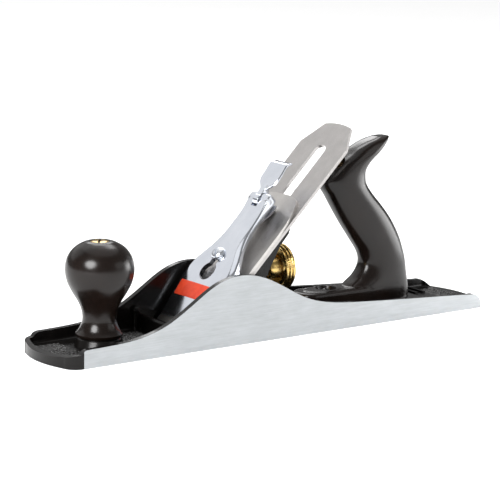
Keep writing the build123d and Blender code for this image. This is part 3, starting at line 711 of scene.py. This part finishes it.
wheel = lathe("depth_wheel", wheel_profile, WHEEL, "polished_brass", 144, 50)
stand_in(wheel, "depth_nut", "polished_brass", "adjusting_nut")

THREAD_PITCH = 1.058
thread_rings = []
for step in range(320):
    x = -17.0 + 34.4 * step / 319
    ring = []
    for k in range(28):
        a = 2 * math.pi * k / 28
        phase = (x / THREAD_PITCH - k / 28) % 1.0
        end = smoothstep(0, 0.8, min(x + 17.0, 17.4 - x))
        r = 2.55 + 0.2 * end + 0.34 * end * (1 - abs(2 * phase - 1))
        ring.append(Vector((x, r * math.cos(a), 41.5 + r * math.sin(a))) * MM)
    thread_rings.append(ring)
stud = new_object("threaded_stud", *ring_loft(thread_rings), "zinc_steel", 60)
stand_in(stud, "frog", "zinc_steel", "adjusting_stud")


# ---------------------------------------------------------------- cast texture
def pebble(x, y, size):
    """Height from 0 to 1 of evenly spread round pebbles with a little jitter."""
    column = math.floor(x / size)
    row = math.floor(y / size)
    nearest = 9.0
    for i in (column - 1, column, column + 1):
        for j in (row - 1, row, row + 1):
            spot = random.Random(i * 7919 + j * 104729)
            px = (i + 0.5 + 0.5 * (spot.random() - 0.5)) * size
            py = (j + 0.5 + 0.5 * (spot.random() - 0.5)) * size
            nearest = min(nearest, math.hypot(x - px, y - py) / size)
    return max(0.0, 1.0 - (nearest / 0.56) ** 2)


def pebbles(name, x_low, x_high, half_y, size, height):
    """A patch of rough casting on the channel floor, fading out at its edge."""
    columns = int((x_high - x_low) / 0.32)
    rows = int(2 * half_y / 0.32)
    verts = []
    faces = []
    for i in range(columns + 1):
        for j in range(rows + 1):
            x = x_low + (x_high - x_low) * i / columns
            y = -half_y + 2 * half_y * j / rows
            edge = min(x - x_low, x_high - x, y + half_y, half_y - y)
            rise = 0.14 + height * pebble(x, y, size)
            verts.append((x, y, FLOOR_Z + smoothstep(0, 2.0, edge) * rise))
    for i in range(columns):
        for j in range(rows):
            k = i * (rows + 1) + j
            faces.append((k, k + 1, k + rows + 2, k + rows + 1))
    patch = new_object(name, placed(verts, UPRIGHT), faces, "black_japan", 80)
    stand_in(patch, "stock", "black_japan")


pebbles("pebbles_toe", -171.0, -150.0, 22.0, 2.6, 0.8)
pebbles("pebbles_channel", -114.0, -88.5, 23.0, 2.6, 0.95)
pebbles("pebbles_heel", 156.0, 171.5, 21.0, 2.6, 0.9)

# ---------------------------------------------------------------- carried-over pieces
carried = {
    "body": "casting", "frog": "black_japan", "knob_bolt": "zinc_steel", "tote_bolt": "zinc_steel",
    "frog_screws": "zinc_steel", "frog_washers": "zinc_steel",
    "frog_adjusting_screw": "zinc_steel", "frog_adjusting_clip": "zinc_steel",
    "frog_clip_screws": "zinc_steel", "cutting_iron": "iron_steel", "cap_iron": "cap_steel",
    "cap_iron_screw": "zinc_steel", "lever_cap_spring": "zinc_steel",
    "spring_rivet": "zinc_steel", "adjusting_yoke": "black_steel",
    "yoke_pin": "zinc_steel", "lateral_lever": "zinc_steel", "lateral_roller": "zinc_steel",
    "lateral_pivot": "zinc_steel",
}
for node_name, finish_name in carried.items():
    slots = nodes[node_name].material_slots
    if not slots:
        nodes[node_name].data.materials.append(finishes[finish_name])
    for material_slot in nodes[node_name].material_slots:
        material_slot.material = finishes[finish_name]
for node_name, width in (("cutting_iron", 0.2), ("cap_iron", 0.25), ("lateral_lever", 0.25),
                         ("cap_iron_screw", 0.3)):
    soften(nodes[node_name], width)
soften(nodes["body"], 0.4, 2, 30.0, False)
soften(nodes["frog"], 0.35, 2, 30.0, False)

# ---------------------------------------------------------------- studio
floor_mesh = bpy.data.meshes.new("studio_floor")
floor_mesh.from_pydata([(-6, -6, 0), (6, -6, 0), (6, 6, 0), (-6, 6, 0)], [], [(0, 1, 2, 3)])
floor = bpy.data.objects.new("studio_floor", floor_mesh)
bpy.context.collection.objects.link(floor)
floor_graph = Graph("studio_paper")
paper = floor_graph.noise(floor_graph.coords, 30.0, 3.0)
floor.data.materials.append(floor_graph.finish(
    Base_Color=floor_graph.mix(floor_graph.ramp(paper, 0.0, 1.0), (0.90, 0.90, 0.90),
                               (0.93, 0.93, 0.93)), Roughness=0.9,
    Emission_Color=(1.0, 1.0, 1.0), Emission_Strength=FLOOR_GLOW))

world = bpy.data.worlds.new("studio")
bpy.context.scene.world = world
world.use_nodes = True
world.node_tree.nodes["Background"].inputs[0].default_value = (1.0, 1.0, 1.0, 1.0)
world.node_tree.nodes["Background"].inputs[1].default_value = WORLD_GLOW
bpy.context.scene.view_settings.view_transform = "Standard"


def softbox(name, spot, aim, size_x, size_y, power, shape="RECTANGLE"):
    light = bpy.data.lights.new(name, "AREA")
    light.shape = shape
    light.size = size_x
    light.size_y = size_y
    light.energy = power
    obj = bpy.data.objects.new(name, light)
    bpy.context.collection.objects.link(obj)
    obj.location = spot
    obj.rotation_euler = (Vector(aim) - Vector(spot)).to_track_quat("-Z", "Y").to_euler()
    return obj


softbox("key_window", (-1.50, -0.62, 0.85), (KNOB_X * MM, 0, 0.06), 1.0, 0.95, 46.0, "ELLIPSE")
softbox("side_panel", (1.05, -1.45, 0.55), (0.03, 0, 0.04), 1.0, 0.8, 2.6)
softbox("handle_panel", (1.25, -0.42, 0.24), (0.09, 0, 0.07), 0.7, 0.45, 3.5)
softbox("heel_strip", (0.41, -0.13, 0.07), (0.12, 0, 0.07), 0.22, 0.13, 0.45)
softbox("back_panel", (-0.45, 1.75, 1.30), (0, 0, 0.08), 2.2, 1.5, 7.2)
softbox("horn_panel", (0.68, 1.30, 0.92), (0.08, 0, 0.12), 0.55, 0.40, 3.4)
softbox("top_box", (0.48, 0.68, 1.28), (KNOB_X * MM, 0, 0.06), 0.85, 0.45, 6.5)
sky_data = bpy.data.lights.new("sky_panel", "SUN")
sky_data.energy = 0.85
sky_data.angle = math.radians(70.0)
sky = bpy.data.objects.new("sky_panel", sky_data)
bpy.context.collection.objects.link(sky)
sky.rotation_euler = (math.radians(-8.0), math.radians(10.0), 0.0)

# ---------------------------------------------------------------- camera
YAW = math.radians(36.10)
PITCH = math.radians(11.41)
ROLL = math.radians(0.94)
ahead = Vector((math.sin(YAW) * math.cos(PITCH), math.cos(YAW) * math.cos(PITCH),
                -math.sin(PITCH)))
across = Vector((math.cos(YAW), -math.sin(YAW), 0.0))
above = across.cross(ahead)
right = math.cos(ROLL) * across + math.sin(ROLL) * above
upward = -math.sin(ROLL) * across + math.cos(ROLL) * above
camera_data = bpy.data.cameras.new("camera")
camera_data.sensor_width = 36.0
camera_data.lens = LENS
camera_data.clip_start = 0.05
camera = bpy.data.objects.new("camera", camera_data)
bpy.context.collection.objects.link(camera)
camera.matrix_world = Matrix((
    (right.x, upward.x, -ahead.x, CAMERA_SPOT[0]),
    (right.y, upward.y, -ahead.y, CAMERA_SPOT[1]),
    (right.z, upward.z, -ahead.z, CAMERA_SPOT[2]),
    (0, 0, 0, 1)))
bpy.context.scene.camera = camera
